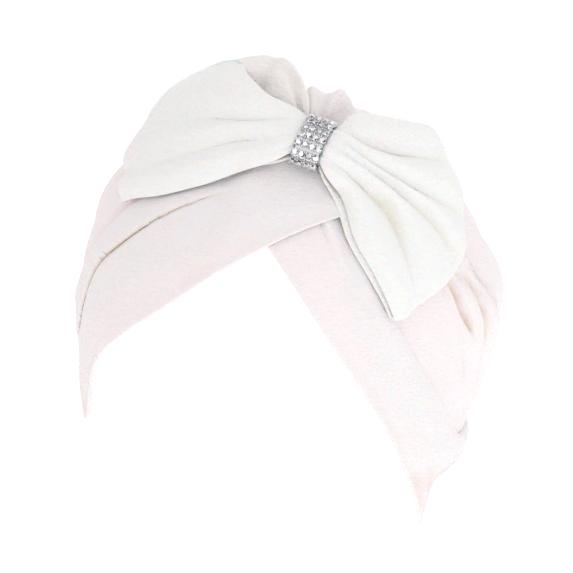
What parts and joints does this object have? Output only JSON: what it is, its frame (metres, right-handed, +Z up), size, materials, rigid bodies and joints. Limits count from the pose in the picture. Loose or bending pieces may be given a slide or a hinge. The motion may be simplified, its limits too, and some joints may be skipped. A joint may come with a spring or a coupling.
{
  "type": "turban hat",
  "caption": "Soft white crepe turban hat with a pleated hollow crown, two wide bands crossed over the forehead and a front bow held by a band of clear cut stones.",
  "frame": {"origin": "top of the wearer's head, just inside the top of the crown", "axes": "+Z up, -Y out of the front, +X towards the wearer's left side"},
  "size_m": [0.1855, 0.2043, 0.1775],
  "materials": {
    "cap_crepe": "matt crepe with a fine pebbled grain",
    "bow_crepe": "matt crepe, slightly warmer in its folds",
    "stone_trim": "clear cut stones in bright silver cups"
  },
  "bodies": {
    "root": {"crown": "cap_crepe", "band_right": "cap_crepe", "band_left": "cap_crepe", "bow": "bow_crepe", "stone_band": "stone_trim"}
  },
  "joints": []
}
